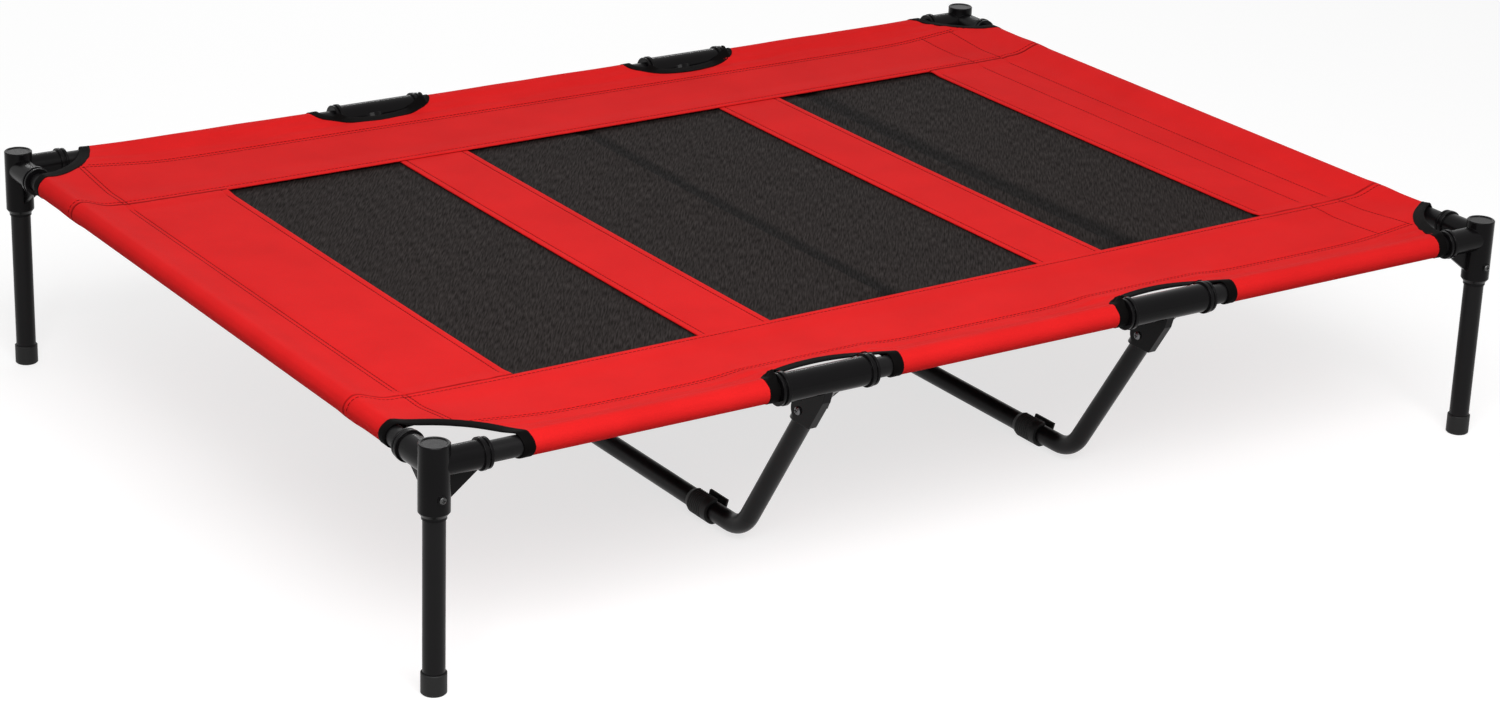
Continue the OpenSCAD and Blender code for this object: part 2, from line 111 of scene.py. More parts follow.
# Grid lines of the panels: usual and fine steps, the least step, and how far the fine lines run on beside
# edges, tees and folds
WIDE_STEP = 0.006
FINE_STEP = 0.0025
LEAST_STEP = 0.0003
EDGE_FINE = 0.022
TEE_FINE = 0.09
FOLD_FINE = 0.01
FOLD_FINE_RUN = 3
GROOVE_LINES = 5
HEM_LINES = 6

# Sleeves: the seam's distance from the rail axis and how far it lies under it, the cloth's room round the
# rail, the dip between rail and seam, and the sag of the open sheet
SEAM = 0.047
SEAM_DROP = 0.001
SLEEVE_GAP = 0.0009
SLEEVE_R = RAIL_R + SLEEVE_GAP
SLEEVE_DIP = 0.0020
SAG = 0.002

# Binding tape: width and thickness, how far it stops short of the seam under a sleeve, its rounded rim, the
# place of the dent along it as a share of its width, and the steps along the round of a corner and of a tee
TAPE_W = 0.011
TAPE_T = 0.0006
TAPE_SHORT = 0.010
TAPE_RIM = 0.0004
TAPE_DENT = 0.22
CORNER_STEPS = 80
TEE_STEPS = 90


class CornerCut(NamedTuple):
    """The opening at a corner.

    Where its red edge crosses the tops of the long and the short rail, from the leg axis, the radius of that
    edge, and how far the tape droops into the opening.
    """
    along: float
    across: float
    radius: float
    droop: float


CORNER_CUTS = {
    (-1, -1): CornerCut(0.088, 0.077, 0.108, 0.0022),
    (-1, 1): CornerCut(0.077, 0.072, 0.108, 0),
    (1, -1): CornerCut(0.064, 0.084, 0.108, -0.0025),
    (1, 1): CornerCut(0.072, 0.072, 0.200, 0.0022),
}

# The cloth at a corner: height of its edge over the rail axis, its fall away from the edge, and how much
# more of the lower layer is cut away, from how far under the fold and over which run
CORNER_RISE = 0.0098
CORNER_SLOPE = 0.14
CORNER_BACK = 0.035
CUT_START = 0.016
CUT_FADE = 0.02

# Openings round the tees: half width and depth along the cloth to the tape, how slack the left and right
# ends are at the front and at the rear, and how much more of the lower layer is cut away
NOTCH_HALF = 0.061
NOTCH_DEEP = 0.037
NOTCH_ENDS = {-1: (0.5, 0.8), 1: (0.65, 0.55)}
NOTCH_BACK = 0.016

# The edge of the cloth behind a front tee: its height over the rail axis and its fall towards the middle
NOTCH_RISE = 0.0065
NOTCH_SLOPE = 0.22

# Where cloth is pulled up: how far in from a fold that starts and over which run it sets in, how softly it
# meets the pulled height, and the cloth's room over a tee and the run over which it comes down beside it
PULL_START = 0.010
PULL_FADE = 0.006
PULL_BLEND = 0.004
TEE_GAP = 0.0014
TEE_FADE = 0.004

# Soft folds along the long sleeves: height, pitch, reach from an opening, the runs over which they fade at
# the fold and at the seam, and how they wander, as shares of the pitch and waves
RIPPLE = 0.00045
RIPPLE_PITCH = 0.016
RIPPLE_REACH = 0.07
RIPPLE_FADE_FOLD = 0.010
RIPPLE_FADE_SEAM = 0.015
RIPPLE_WANDER = ((0.25, 23), (0.15, 57))

# Stitches: length and pitch, the thread, the groove that a row presses, and the places of the rows
STITCH = 0.0032
STITCH_PITCH = 0.0044
THREAD_R = 0.00036
THREAD_SIDES = 5
THREAD_ARCH = 0.25
GROOVE_DEEP = 0.0007
GROOVE_W = 0.0016
ROW_GAP = 0.005
ROW_FADE = 0.004
HEM_ROW = 0.007
END_ROW_IN = 0.004
END_ROW_GAP = 0.040


def smooth(value):
    """Eases from 0 to 1 as the value goes from 0 to 1."""
    t = np.clip(value, 0, 1)
    return t * t * (3 - 2 * t)


def unit(vectors):
    """The vectors at length 1."""
    return vectors / np.linalg.norm(vectors, axis=-1, keepdims=True)


# The shape of the cover

SEAM_X = END_X - SEAM
SEAM_Y = SIDE_Y - SEAM
SEAM_REACH = math.hypot(SEAM, SEAM_DROP)
SLEEVE_SPREAD = math.acos(SLEEVE_R / SEAM_REACH)
SLEEVE_START = math.atan2(-SEAM_DROP, SEAM) + SLEEVE_SPREAD
SLEEVE_SLOPE = math.sqrt(SEAM_REACH**2 - SLEEVE_R**2)
SLEEVE_ARC = SLEEVE_R * 2 * (math.pi - SLEEVE_SPREAD)
SLEEVE_RUN = 2 * SLEEVE_SLOPE + SLEEVE_ARC
FOLD_X = SEAM_X + SLEEVE_RUN / 2
FOLD_Y = SEAM_Y + SLEEVE_RUN / 2
RIDGE = SLEEVE_RUN / 2 - SEAM
TEES = {(end, side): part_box(f"tee_{side_name}_{end_name}")
        for side, side_name in ((-1, "front"), (1, "rear")) for end, end_name in ((-1, "left"), (1, "right"))}


def sleeve(out):
    """Section of a sleeve, as (inward, up) from the rail axis, for cloth this far beyond its seam."""
    turn = SLEEVE_START + np.clip(out - SLEEVE_SLOPE, 0, SLEEVE_ARC) / SLEEVE_R
    above = out < SLEEVE_SLOPE
    run = np.where(above, SLEEVE_SLOPE - out, np.maximum(out - SLEEVE_SLOPE - SLEEVE_ARC, 0))
    way = np.where(above, 1, -1)
    inward = SLEEVE_R * np.cos(turn) + way * run * np.sin(turn)
    up = SLEEVE_R * np.sin(turn) - way * run * np.cos(turn)
    dip = np.where(above, np.sin(math.pi * np.clip(out / SLEEVE_SLOPE, 0, 1)) ** 2, 0)
    return inward, up - SLEEVE_DIP * dip


def sheet_height(x, y):
    """Height of the open sheet between the seams, which sags in the middle."""
    return RAIL_Z - SEAM_DROP - SAG * (1 - (x / SEAM_X) ** 2) * (1 - (y / SEAM_Y) ** 2)


def corner_centre(end, side):
    """Centre of the round edge of a corner opening, in distances along the cloth from the folds."""
    along, across, radius, _ = CORNER_CUTS[end, side]
    chord = math.hypot(along, across)
    back = math.sqrt(radius**2 - chord**2 / 4)
    from_end = RIDGE + along / 2 - across / chord * back
    from_side = RIDGE + across / 2 - along / chord * back
    return from_end, from_side


def cut_back(below, back=CORNER_BACK):
    """How much more of the lower layer of a sleeve is cut away, this far under the fold."""
    return back * smooth((below - CUT_START) / CUT_FADE)


def corner_room(a, b, end, side):
    """How far cloth lies from the taped edge of a corner opening; negative inside the opening."""
    centre = corner_centre(end, side)
    from_end, from_side = FOLD_X - end * a, FOLD_Y - side * b
    radius = CORNER_CUTS[end, side].radius - TAPE_W + cut_back(-np.minimum(from_end, from_side))
    return np.hypot(np.abs(from_end) - centre[0], np.abs(from_side) - centre[1]) - radius


def tee_level(along, b, side, slack):
    """Zero along the taped edge of the opening round a tee, negative inside it."""
    deep = np.maximum(FOLD_Y - side * b - RIDGE, 0) / (NOTCH_DEEP - RIDGE)
    half = NOTCH_HALF + cut_back(side * b - FOLD_Y, NOTCH_BACK)
    return (along / half) ** 2 + deep ** (1 / slack) - 1


def tee_room(a, b, end, side):
    """How far cloth lies from the taped edge of the opening round a tee, to first order."""
    step = 0.0004
    along = a - end * TEE_X
    slack = np.where(along < 0, *NOTCH_ENDS[side])
    slope_a = tee_level(along + step, b, side, slack) - tee_level(along - step, b, side, slack)
    slope_b = tee_level(along, b + step, side, slack) - tee_level(along, b - step, side, slack)
    slope = np.maximum(np.hypot(slope_a, slope_b) / (2 * step), 1)
    return tee_level(along, b, side, slack) / slope


def opening_room(a, b, side):
    """How far cloth lies from the nearest taped edge along a side."""
    rooms = [room(a, b, end, side) for end in (-1, 1) for room in (corner_room, tee_room)]
    return np.minimum.reduce(rooms)


def lifted(over):
    """The rise to a height this far over the cloth: all of it well under that height, none well above it."""
    return (over + np.hypot(over, PULL_BLEND)) / 2


def on_top(inward):
    """One on the upper side of the cover, this far in from a fold, and none by the fold or under it."""
    return smooth((inward - PULL_START) / PULL_FADE)


def pulled_up(a, b, x, y, z):
    """Height of the cover, pulled up across the corners, over the tees and along the edges behind them."""
    for end in (-1, 1):
        for side in (-1, 1):
            above = on_top(FOLD_Y - side * b)
            edge = np.maximum(corner_room(a, b, end, side), 0)
            corner = above * on_top(FOLD_X - end * a)
            droop = CORNER_CUTS[end, side].droop * (1 - smooth(edge / TAPE_W))
            z = z + corner * lifted(RAIL_Z + CORNER_RISE - CORNER_SLOPE * edge - droop - z)
            low, high = TEES[end, side]
            within = smooth((x - low.x) / TEE_FADE + 1) * smooth((high.x - x) / TEE_FADE + 1)
            tee_r = high.z - RAIL_Z + TEE_GAP
            rise = tee_r**2 - (y - side * SIDE_Y) ** 2
            crown = np.where(rise > 0, RAIL_Z + np.sqrt(np.maximum(rise, 0)), z)
            z = z + above * within * np.maximum(crown - z, 0)
        beyond = np.maximum(FOLD_Y + b - NOTCH_DEEP - TAPE_W, 0)
        edge = np.hypot(np.maximum(np.abs(a - end * TEE_X) - NOTCH_HALF, 0), beyond)
        front = on_top(FOLD_Y + b) * on_top(FOLD_X - np.abs(a))
        z = z + front * lifted(RAIL_Z + NOTCH_RISE - NOTCH_SLOPE * edge - z)
    return z


# How far the cover is sewn out of square: the upright edges of the windows along X, and the hems of the
# front and rear bands along Y at the left and at the right of the windows. It is square again near the long
# seams.
EDGES_X = (-SEAM_X, -WINDOW_X, -STRIP_OUT, -STRIP_IN, STRIP_IN, STRIP_OUT, WINDOW_X, SEAM_X)
EDGES_ASKEW = (0, -0.0035, -0.0040, -0.0068, 0.0005, -0.0025, 0.0068, 0)
HEMS_ASKEW = {-1: (-0.0168, -0.0035), 1: (-0.0007, 0.0073)}
SQUARE_RUN = 0.03
SQUARE_Y = SEAM_Y - SQUARE_RUN


def askew(a, b):
    """How far cloth is sewn out of its square place, along X and along Y."""
    lines = (-SQUARE_Y, -WINDOW_Y, WINDOW_Y, SQUARE_Y)
    front, rear = np.interp(b, lines, (0, 1, 0, 0)), np.interp(b, lines, (0, 0, 1, 0))
    hems = [np.interp(a, (-WINDOW_X, WINDOW_X), HEMS_ASKEW[side]) for side in (-1, 1)]
    return np.interp(a, EDGES_X, EDGES_ASKEW) * (front + rear), hems[0] * front + hems[1] * rear


def cover_point(a, b):
    """Point on the cover for cloth coordinates: X and Y inside the seams, running on round the sleeves."""
    out_x = np.maximum(np.abs(a) - SEAM_X, 0)
    out_y = np.maximum(np.abs(b) - SEAM_Y, 0)
    end_in, end_up = sleeve(out_x)
    side_in, side_up = sleeve(out_y)
    x = np.where(out_x > 0, np.sign(a) * (END_X - end_in), a)
    y = np.where(out_y > 0, np.sign(b) * (SIDE_Y - side_in), b)
    shift_x, shift_y = askew(a, b)
    z = sheet_height(np.clip(a, -SEAM_X, SEAM_X), np.clip(b, -SEAM_Y, SEAM_Y))
    z = z + end_up + side_up + 2 * SEAM_DROP
    return np.stack([x + shift_x, y + shift_y, pulled_up(a, b, x, y, z)], axis=-1)


def cover_frame(a, b):
    """Point and normal of the cover."""
    step = 0.0002
    along = cover_point(a + step, b) - cover_point(a - step, b)
    across = cover_point(a, b + step) - cover_point(a, b - step)
    return cover_point(a, b), unit(np.cross(along, across))


# Mesh building


def new_object(name, points, faces, material, slot):
    """A smooth mesh object that rides on the frame."""
    mesh = bpy.data.meshes.new(name)
    mesh.from_pydata(np.asarray(points).reshape(-1, 3).tolist(), [], faces)
    mesh.shade_smooth()
    mesh.materials.append(material)
    obj = bpy.data.objects.new(name, mesh)
    bpy.context.scene.collection.objects.link(obj)
    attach(obj, "root")
    return obj


def grid_faces(rows, columns):
    """Quads of a grid of points that is stored row by row."""
    corner = np.arange(rows - 1)[:, None] * columns + np.arange(columns - 1)[None, :]
    quads = np.stack([corner, corner + 1, corner + columns + 1, corner + columns], axis=-1)
    return quads.reshape(-1, 4).tolist()


def spread(start, stop, step):
    """Even places from start to stop, about a step apart."""
    return np.linspace(start, stop, max(2, round(abs(stop - start) / step) + 1))


def panel_lines(start, stop, rows=(), hems=(), bends=()):
    """Grid lines across a panel, which close up round stitch rows and along bends.

    Gives their places on the flat cloth, their places on the cover, and how far they drop under it. An edge
    in hems is turned under.
    """
    parts = [spread(start, stop, WIDE_STEP)]
    parts += [row + GROOVE_W * np.linspace(-1, 1, GROOVE_LINES) for row in rows]
    parts += [spread(low, high, FINE_STEP) for low, high in bends]
    flat = np.sort(np.concatenate(parts))
    flat = flat[(flat > start + LEAST_STEP) & (flat < stop - LEAST_STEP)]
    flat = flat[np.diff(flat, prepend=start) > LEAST_STEP]
    flat = np.concatenate([[start], flat, [stop]])
    place, drop = flat.copy(), np.zeros_like(flat)
    turn = np.concatenate([np.linspace(0, math.pi, HEM_LINES), [math.pi, math.pi]])
    turned_under = np.concatenate([np.zeros(HEM_LINES), [HEM_DEEP / 2, HEM_DEEP]])
    for edge in hems:
        way = 1 if edge == stop else -1
        inside = way * (edge - flat) > 2 * HEM_R
        over = HEM_R * turn + turned_under
        reach = HEM_R * np.sin(turn) - HEM_R - turned_under
        under = HEM_R * (1 - np.cos(turn))
        order = slice(None) if way > 0 else slice(None, None, -1)
        pieces = [(flat[inside], place[inside], drop[inside]),
                  ((edge + way * (over - HEM_R))[order], (edge + way * reach)[order], under[order])]
        flat, place, drop = (np.concatenate(lines) for lines in zip(*pieces[::way]))
    return flat, place, drop


def trim(bm, value):
    """Cuts away the cloth where the value at its vertices is negative, along the line where it is zero."""
    value = dict(zip(bm.verts, value))
    for edge in list(bm.edges):
        first, second = (value[v] for v in edge.verts)
        if first * second < 0:
            _, added = bmesh.utils.edge_split(edge, edge.verts[0], first / (first - second))
            value[added] = 0.0
    for face in list(bm.faces):
        cut = [v for v in face.verts if value[v] == 0.0]
        if len(cut) == 2 and not bm.edges.get(cut):
            bmesh.utils.face_split(face, *cut)
    gone = [f for f in bm.faces if sum(value[v] for v in f.verts) < 0]
    bmesh.ops.delete(bm, geom=gone, context="FACES")


def pressed(a):
    """How thick a hem lies: full on the open sheet, under half of that over the sleeves of the ends."""
    return 1 - HEM_PRESSED * smooth((np.abs(a) - SEAM_X) / PRESS_FADE)


def over_hem(b):
    """One on the hem of a band beside the windows, none on the single cloth well beyond it."""
    return 1 - smooth((np.abs(b) - WINDOW_Y - SEAM_OVERLAP) / HEM_FADE)


def cloth_panel(name, a_lines, b_lines, lift, material, slot, room=None):
    """A panel, lifted off the cover's middle layer and trimmed, with its flat cloth coordinates as UVs."""
    flat_a, flat_b = np.meshgrid(a_lines[0], b_lines[0])
    a, b = np.meshgrid(a_lines[1], b_lines[1])
    drop_a, drop_b = np.meshgrid(a_lines[2], b_lines[2])
    point, normal = cover_frame(a, b)
    points = point + normal * (lift(a, b) - drop_a - drop_b * pressed(a))[..., None]
    obj = new_object(name, points, grid_faces(*a.shape), material, slot)
    flat = np.stack([flat_a, flat_b], axis=-1).reshape(-1, 2)
    bm = bmesh.new()
    bm.from_mesh(obj.data)
    layer = bm.loops.layers.uv.new("cloth")
    for face in bm.faces:
        for loop in face.loops:
            loop[layer].uv = flat[loop.vert.index]
    if room is not None:
        trim(bm, room(a, b).ravel())
    area = 0.0
    for face in bm.faces:
        corners = [loop[layer].uv for loop in face.loops]
        area += abs(sum(p.cross(q) for p, q in zip(corners, corners[1:] + corners[:1]))) / 2
    bm.to_mesh(obj.data)
    bm.free()
    thick = obj.modifiers.new("thickness", "SOLIDIFY")
    thick.thickness = CLOTH_T
    thick.offset = 0
    obj["flat_size"] = (np.ptp(a_lines[0]), np.ptp(b_lines[0]))
    obj["flat_area"] = area
    return obj


def grooves(place, rows):
    """Dents that the stitch rows press into the cloth."""
    return -GROOVE_DEEP * sum(np.exp(-(((place - row) / GROOVE_W * 2) ** 2)) for row in rows)


def ripples(a, b, side):
    """Soft folds along the upper layer of a long sleeve, which fade away from the openings."""
    inward = FOLD_Y - side * b
    shown = smooth(inward / RIPPLE_FADE_FOLD) * smooth((SLEEVE_RUN / 2 - inward) / RIPPLE_FADE_SEAM)
    near = np.exp(-np.maximum(opening_room(a, b, side), 0) / RIPPLE_REACH)
    wander = sum(share * np.sin(waves * a) for share, waves in RIPPLE_WANDER)
    return RIPPLE * shown * near * np.sin(2 * math.pi * (inward / RIPPLE_PITCH + wander))


# Stitch rows, in cloth coordinates

END_ROWS = {
    -1: (-SEAM_X - ROW_GAP / 2, -SEAM_X + ROW_GAP / 2),
    1: (SEAM_X - END_ROW_IN, SEAM_X - END_ROW_IN - END_ROW_GAP),
}
SIDE_ROWS = {side: (side * (SEAM_Y - ROW_GAP / 2), side * (SEAM_Y + ROW_GAP / 2)) for side in (-1, 1)}
ALL_END_ROWS = END_ROWS[-1] + END_ROWS[1]
SLEEVES_X = ((-SEAM_X - SLEEVE_RUN, -SEAM_X), (SEAM_X, SEAM_X + SLEEVE_RUN))


def band(side, material):
    """Front or rear band: a sleeve, both ends of it round the short rails, and the hem over the windows."""
    edge = side * WINDOW_Y
    hem_row = edge + side * HEM_ROW
    far = side * (SEAM_Y + SLEEVE_RUN)
    low, high = sorted((edge, far))
    sleeve_low, sleeve_high = sorted((side * SEAM_Y, far))
    by_tees = tuple((end * TEE_X - TEE_FINE, end * TEE_X + TEE_FINE) for end in (-1, 1))
    rows = (*SIDE_ROWS[side], hem_row)
    a_lines = panel_lines(-SEAM_X - SLEEVE_RUN, SEAM_X + SLEEVE_RUN, ALL_END_ROWS, (), SLEEVES_X + by_tees)
    b_lines = panel_lines(low, high, rows, (edge,), ((sleeve_low, sleeve_high),))

    def lift(a, b):
        before_sleeve = smooth(1 + (SEAM_Y - side * b) / ROW_FADE)
        end_grooves = grooves(a, ALL_END_ROWS) * before_sleeve
        return HEM_LIFT * over_hem(b) * pressed(a) + end_grooves + grooves(b, rows) + ripples(a, b, side)

    def room(a, b):
        return opening_room(a, b, side) - TAPE_W / 2

    name = "front_band" if side < 0 else "rear_band"
    obj = cloth_panel(name + "_cloth", a_lines, b_lines, lift, material, "cover_red", room)
    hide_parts(name)
    return obj


def end_panel(end, material):
    """Left or right end panel, with its sleeve and a hem at the window."""
    edge = end * WINDOW_X
    hem_row = edge + end * HEM_ROW
    far = end * (SEAM_X + SLEEVE_RUN)
    low, high = sorted((edge, far))
    sleeve_low, sleeve_high = sorted((end * SEAM_X, far))
    reach = WINDOW_Y + SEAM_OVERLAP
    rows = (*END_ROWS[end], hem_row)
    by_bands = ((-WINDOW_Y, EDGE_FINE - WINDOW_Y), (WINDOW_Y - EDGE_FINE, WINDOW_Y))
    a_lines = panel_lines(low, high, rows, (edge,), ((sleeve_low, sleeve_high),))
    b_lines = panel_lines(-reach, reach, (-WINDOW_Y, WINDOW_Y), (), by_bands)

    def lift(a, b):
        inside = WINDOW_Y - np.abs(b)
        raised = HEM_LIFT * pressed(a) * smooth(1 - inside / EDGE_FADE)
        deep = HEM_LIFT + TUCK_DEEPER * smooth((np.abs(a) - SEAM_X) / PRESS_FADE)
        tucked = deep * pressed(a) * smooth(TUCK_START - inside / TUCK_FADE)
        return grooves(a, rows) + raised - tucked

    name = "left_end_panel" if end < 0 else "right_end_panel"
    obj = cloth_panel(name + "_cloth", a_lines, b_lines, lift, material, "cover_red")
    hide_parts(name)
    return obj


def cross_strip(end, material):
    """Left or right strip between two windows, hemmed along both."""
    low, high = sorted((end * STRIP_IN, end * STRIP_OUT))
    rows = (low + HEM_ROW, high - HEM_ROW)
    reach = WINDOW_Y + SEAM_OVERLAP
    a_lines = panel_lines(low, high, rows, (low, high))
    b_lines = panel_lines(-reach, reach)

    def lift(a, b):
        return grooves(a, rows)

    name = "cross_strip_left" if end < 0 else "cross_strip_right"
    obj = cloth_panel(name + "_cloth", a_lines, b_lines, lift, material, "cover_red")
    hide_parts(name)
    return obj


# Creases left in the mesh by its packing: place, height, and how far each slopes off to left and right
MESH_FOLDS = ((-0.0242, 0.0025, 0.050, 0.014), (0.2605, 0.0025, 0.030, 0.020))


def mesh_window(name, low, high, material):
    """One mesh window, its edges held under the hems round it."""
    reach = WINDOW_Y + SEAM_OVERLAP
    folds = [fold for fold in MESH_FOLDS if low < fold[0] < high]
    bends = [(place - FOLD_FINE, place + FOLD_FINE_RUN * right) for place, _, _, right in folds]
    a_lines = panel_lines(low - SEAM_OVERLAP, high + SEAM_OVERLAP, [fold[0] for fold in folds], (), bends)
    b_lines = panel_lines(-reach, reach)

    def lift(a, b):
        held = smooth((WINDOW_Y - np.abs(b)) / EDGE_FADE)
        held = held * smooth((a - low) / EDGE_FADE) * smooth((high - a) / EDGE_FADE)
        creases = sum(height * np.exp(np.minimum((a - place) / left, (place - a) / right))
                      for place, height, left, right in folds)
        return held * creases - MESH_DROP

    obj = cloth_panel(name + "_cloth", a_lines, b_lines, lift, material, "cover_mesh")
    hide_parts(name)
    return obj


# Binding tapes


def corner_path(end, side):
    """Line of a corner opening from under one rail to under the other, for an inset from the red edge."""
    centre = corner_centre(end, side)
    under = spread(SLEEVE_RUN / 2 - TAPE_SHORT, 0, FINE_STEP)[:-1]

    def beside(centre_along, centre_across, radius):
        """Places along the rail of the edge of the lower layer."""
        return centre_along + np.sqrt((radius + cut_back(under)) ** 2 - (under - centre_across) ** 2)

    def place(inset):
        radius = CORNER_CUTS[end, side].radius - inset
        turn = np.linspace(math.asin(-centre[1] / radius), math.acos(-centre[0] / radius), CORNER_STEPS)
        from_end = [beside(*centre, radius), centre[0] + radius * np.cos(turn), -under[::-1]]
        from_side = [-under, centre[1] + radius * np.sin(turn), beside(*centre[::-1], radius)[::-1]]
        return end * (FOLD_X - np.concatenate(from_end)), side * (FOLD_Y - np.concatenate(from_side))

    return place


def tee_path(end, side):
    """Line of the opening round a tee, from and back to under the rail, for an inset from the red edge."""
    leg = spread(TAPE_SHORT - SLEEVE_RUN / 2, RIDGE, FINE_STEP)[:-1]
    even = np.linspace(0, 1, TEE_STEPS)
    turn = math.pi * even - np.sin(2 * math.pi * even) / 2
    slack = np.where(np.cos(turn) > 0, *NOTCH_ENDS[side])
    depth = np.sin(turn) ** (2 * slack)

    def place(inset):
        half, deep = (reach + TAPE_W - inset for reach in (NOTCH_HALF, NOTCH_DEEP))
        beside = half + cut_back(-leg, NOTCH_BACK)
        along = np.concatenate([-beside, -half * np.cos(turn), beside[::-1]])
        inward = np.concatenate([leg, RIDGE + depth * (deep - RIDGE), leg[::-1]])
        return end * TEE_X + along, side * (FOLD_Y - inward)

    return place


def binding_tape(name, place, material):
    """Tape folded over the edge of an opening: a flat loop in section, swept along the edge."""
    top = CLOTH_T / 2 + TAPE_T
    rim = TAPE_RIM
    half = [(0, CLOTH_T / 2), (rim / 2, top - rim / 2), (2 * rim, top), (TAPE_W * TAPE_DENT, top - rim / 3),
            (TAPE_W / 2, top), (TAPE_W - 3 * rim, top), (TAPE_W - rim, top - rim), (TAPE_W - rim / 4, rim)]
    section = half + [(inset, -lift) for inset, lift in reversed(half)]
    rings = []
    for inset, lift in section:
        point, normal = cover_frame(*place(inset))
        rings.append(point + normal * lift)
    points = np.stack(rings)
    count, length = points.shape[:2]
    faces = grid_faces(count, length)
    last = (count - 1) * length
    faces += [(last + i, last + i + 1, i + 1, i) for i in range(length - 1)]
    faces.append([ring * length for ring in range(count)])
    faces.append([ring * length + length - 1 for ring in reversed(range(count))])
    obj = new_object(name, points, faces, material, "binding_tape")
    bm = bmesh.new()
    bm.from_mesh(obj.data)
    bmesh.ops.recalc_face_normals(bm, faces=bm.faces)
    bm.to_mesh(obj.data)
    bm.free()
    return obj


# Stitches


def stitch_places(a, b):
    """Evenly spaced places along a polyline in cloth coordinates."""
    point = cover_point(a, b)
    run = np.concatenate([[0], np.cumsum(np.linalg.norm(np.diff(point, axis=0), axis=1))])
    at = np.arange(STITCH_PITCH / 2, run[-1], STITCH_PITCH)
    return np.interp(at, run, a), np.interp(at, run, b)


def stitch_mesh(rows):
    """Points and faces of short tapered threads. Each row has places on the cover and heights over it."""
    stations = (-0.5, -0.32, 0.32, 0.5)
    widths = (0.35, 1, 1, 0.35)
    turn = np.arange(THREAD_SIDES) * 2 * math.pi / THREAD_SIDES
    order = np.arange(len(stations) * THREAD_SIDES).reshape(-1, THREAD_SIDES)
    points, faces, start = [], [], 0
    for a, b, height in rows:
        point, normal = cover_frame(a, b)
        along = unit(np.gradient(point, axis=0))
        beside = np.cross(normal, along)
        centre = point + normal * height[:, None]
        for station, width in zip(stations, widths):
            for angle in turn:
                ring = THREAD_R * width * (np.cos(angle) * beside + np.sin(angle) * normal)
                arch = -THREAD_ARCH * THREAD_R * (1 - width) * normal
                points.append(centre + STITCH * station * along + ring + arch)
        index = start + order * len(a)
        each = np.arange(len(a))[:, None]
        for low, high in zip(index, index[1:]):
            for k in range(THREAD_SIDES):
                after = (k + 1) % THREAD_SIDES
                faces += (each + [low[k], low[after], high[after], high[k]]).tolist()
        faces += (each + index[0, ::-1]).tolist()
        faces += (each + index[-1]).tolist()
        start += order.size * len(a)
    return np.concatenate(points), faces


def cover_rows():
    """Every stitch row in the red cloth, as places and heights over the cover's middle layer."""
    rows = []
    top = CLOTH_T / 2 - GROOVE_DEEP / 2

    def add(a, b, height):
        keep = np.ones_like(a, bool)
        for side in (-1, 1):
            keep &= opening_room(a, b, side) > TAPE_W + STITCH
        if keep.sum() > 2:
            rows.append((a[keep], b[keep], np.broadcast_to(height, a.shape)[keep]))

    def hem_height(b):
        return HEM_LIFT * over_hem(b) * (np.abs(b) > WINDOW_Y)

    for side in (-1, 1):
        for row in SIDE_ROWS[side]:
            a, b = stitch_places(np.array([-SEAM_X, SEAM_X]), np.array([row, row]))
            add(a, b, top)
        row = side * (WINDOW_Y + HEM_ROW)
        line = spread(-FOLD_X, FOLD_X, FINE_STEP)
        a, b = stitch_places(line, np.full_like(line, row))
        add(a, b, top + HEM_LIFT * pressed(a))
    for end in (-1, 1):
        line = spread(-SEAM_Y, SEAM_Y, FINE_STEP)
        for row in END_ROWS[end]:
            a, b = stitch_places(np.full_like(line, row), line)
            add(a, b, top + hem_height(b) * pressed(a))
        line = np.array([-WINDOW_Y, WINDOW_Y])
        for row in (end * (WINDOW_X + HEM_ROW), end * (STRIP_IN + HEM_ROW), end * (STRIP_OUT - HEM_ROW)):
            a, b = stitch_places(np.full_like(line, row), line)
            add(a, b, top)
    return rows


# Materials

# The painted shade along a band's seam: how dark it is, where it ends on either side and how far it puckers
SEAM_SHADE = 0.5
SEAM_LINE = (0.0010, 0.0022)
SEAM_PUCKER = 0.0006

# The painted shade on the lee side of a crease in the mesh: how dark it is, and where it ends as a share of
# the crease's slope
CREASE_SHADE = 0.2
CREASE_FADE = 1.8

# The ranges of a noise and of the openness to light that are used; the openness sets painted shade
NOISE_RANGE = (0.3, 0.7)
OPEN_RANGE = (0.25, 0.85)

# Threads: pitch of the red weave, and the slant, width and length of the mesh's threads
WEAVE_PITCH = 0.0016
SLANT_COS, SLANT_SIN = 0.80, 0.60
MESH_THREAD_W = 0.0014
MESH_THREAD_L = 0.015


